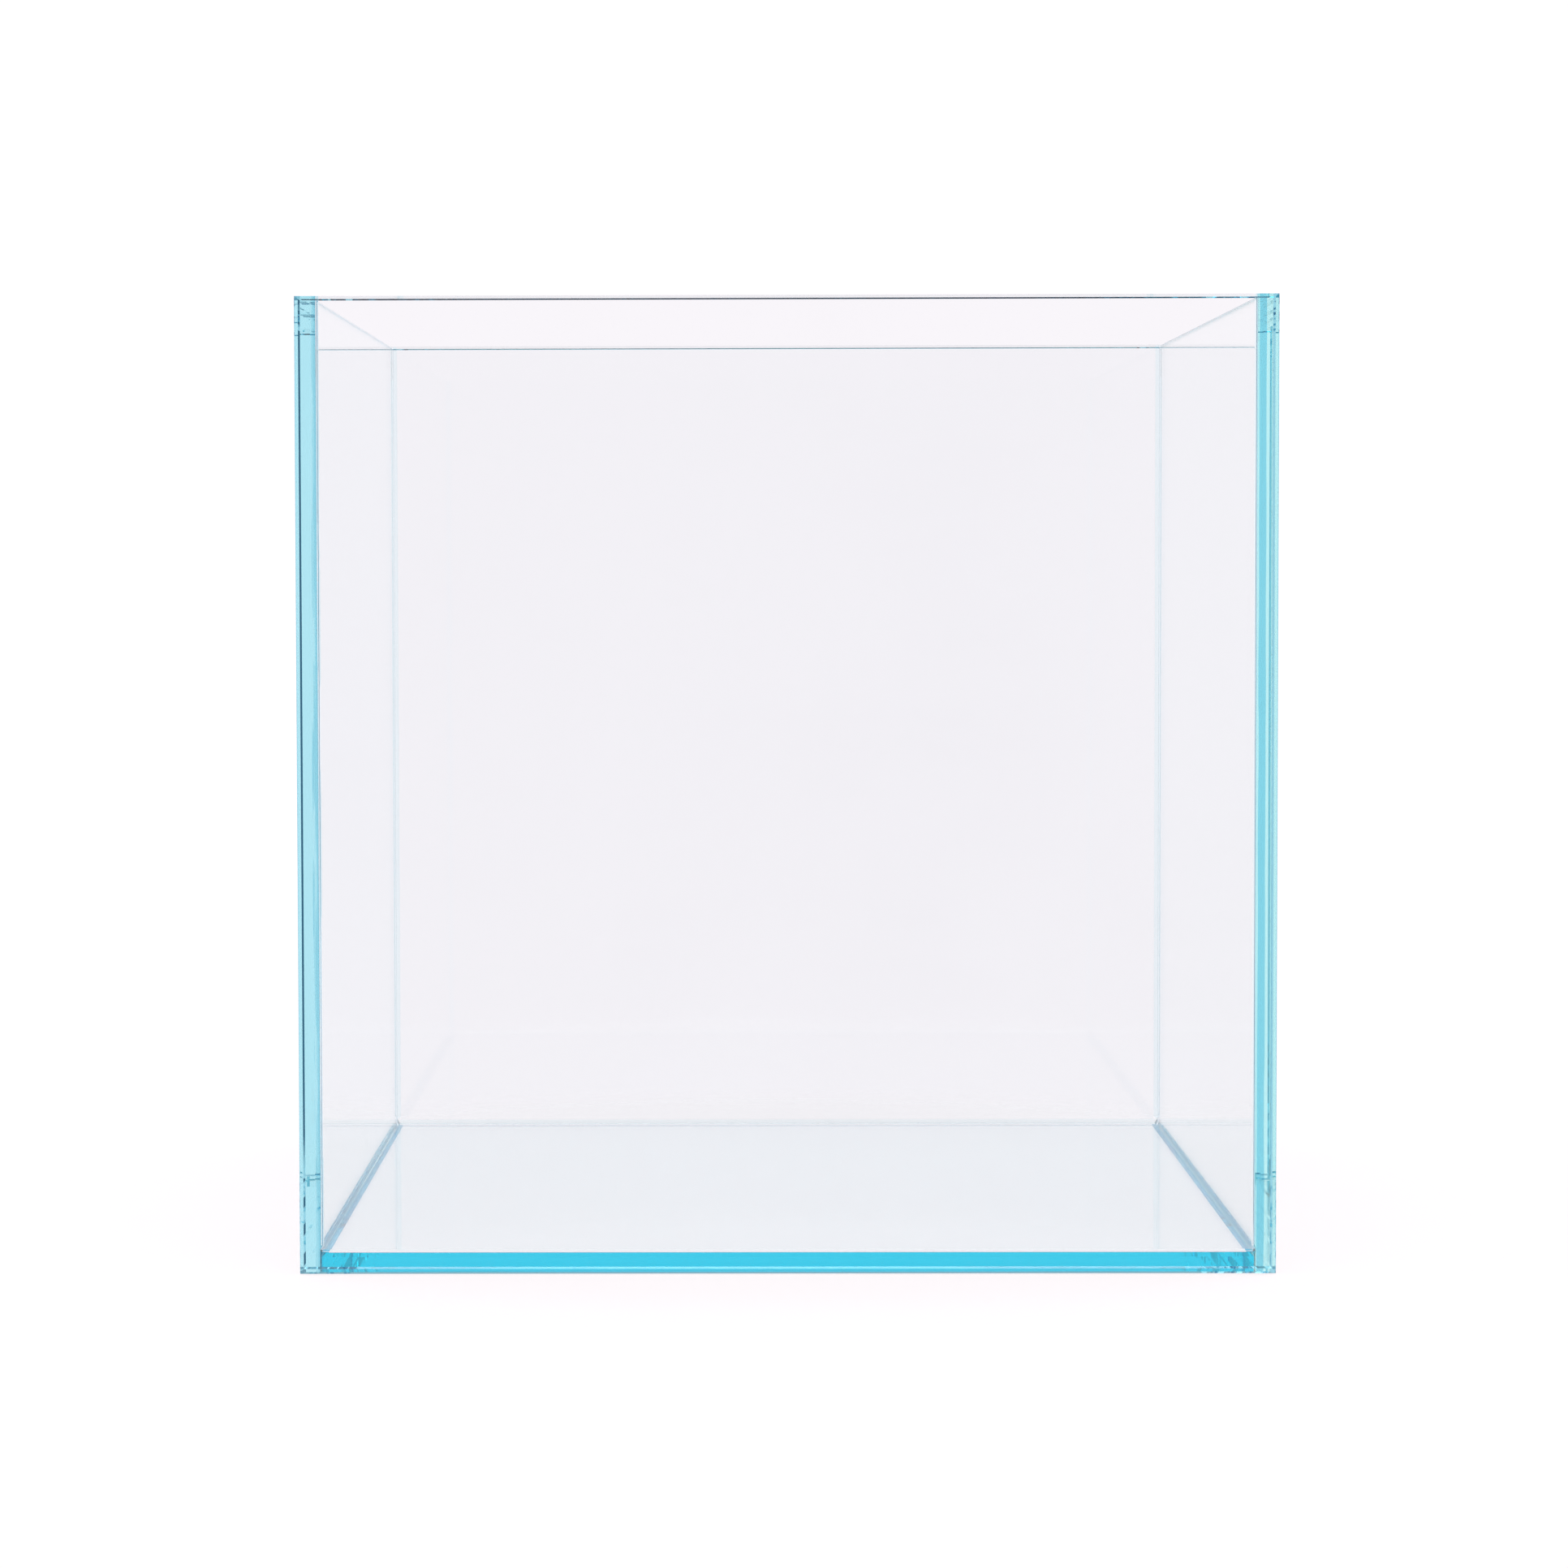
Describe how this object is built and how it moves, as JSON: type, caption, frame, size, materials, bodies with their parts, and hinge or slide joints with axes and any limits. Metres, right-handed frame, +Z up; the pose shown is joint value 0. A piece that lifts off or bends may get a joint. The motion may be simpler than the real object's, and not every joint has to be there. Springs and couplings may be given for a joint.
{
  "type": "glass aquarium tank",
  "caption": "Rimless cube aquarium of clear low-iron glass panes bonded edge to face with clear silicone, open at the top, to hold water, plants and small fish.",
  "frame": {"origin": "middle of the underside, on the surface that the tank stands on", "axes": "+Z up through the open top, +Y towards the back pane, +X towards the right pane"},
  "size_m": [0.3, 0.3, 0.3],
  "materials": {
    "low_iron_glass": "polished faces, finely ground arrises, pale cyan when seen along the sheet",
    "clear_silicone": "clear cured sealant, smooth and glossy"
  },
  "bodies": {
    "root": {"front_pane": "low_iron_glass", "back_pane": "low_iron_glass", "left_pane": "low_iron_glass", "right_pane": "low_iron_glass", "bottom_pane": "low_iron_glass", "front_left_corner_seam": "clear_silicone", "front_right_corner_seam": "clear_silicone", "back_left_corner_seam": "clear_silicone", "back_right_corner_seam": "clear_silicone", "front_bottom_seam": "clear_silicone", "back_bottom_seam": "clear_silicone", "left_bottom_seam": "clear_silicone", "right_bottom_seam": "clear_silicone"}
  },
  "joints": []
}
